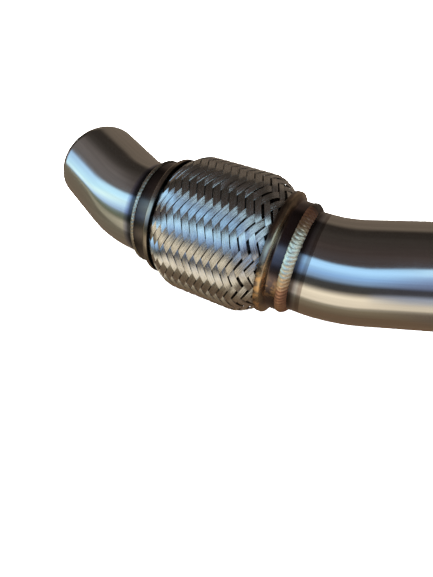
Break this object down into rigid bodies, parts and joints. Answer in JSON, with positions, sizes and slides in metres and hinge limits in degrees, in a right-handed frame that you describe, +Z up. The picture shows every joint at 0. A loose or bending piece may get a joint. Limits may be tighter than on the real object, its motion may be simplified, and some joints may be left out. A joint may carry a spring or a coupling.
{
  "type": "exhaust downpipe",
  "caption": "Stainless exhaust downpipe section: short and long bent tubes welded to a braided flexible coupling.",
  "frame": {"origin": "on the floor, at the centre of the part's outline seen from above", "axes": "+X along the coupling's axis from the inlet to the outlet, +Z up as the part lies at rest on its braid and on the rim of the outlet tube, +Y to the side that both tubes bend towards"},
  "size_m": [0.3679, 0.1231, 0.0913],
  "materials": {
    "tube": "drawn stainless tube, satin, straw and brown heat tint beside the weld",
    "weld": "as-welded stainless fillet bead with straw, gold and blue heat tint",
    "collar": "pressed stainless sheet, tinted bronze and blue by the weld",
    "braid": "bright drawn stainless wire",
    "bellows": "bright rolled stainless sheet",
    "liner": "bright wound stainless strip"
  },
  "bodies": {
    "inlet_side": {"inlet_pipe": "tube", "inlet_weld": "weld", "inlet_collar": "collar", "inlet_crimp": "braid", "bellows": "bellows", "liner": "liner", "braid_left_hand": "braid", "braid_right_hand": "braid"},
    "outlet_side": {"outlet_crimp": "braid", "outlet_collar": "collar", "outlet_weld": "weld", "outlet_pipe": "tube"}
  },
  "joints": [
    {"name": "flex_bend", "type": "hinge", "parent": "inlet_side", "child": "outlet_side", "pos_m": [-0.04875, -0.01594, 0.04557], "axis": [0, 0.3811, 0.9245], "range_deg": [-8, 8], "stiffness_Nm_per_rad": 120, "deforming": ["bellows", "liner", "braid_left_hand", "braid_right_hand"]}
  ]
}
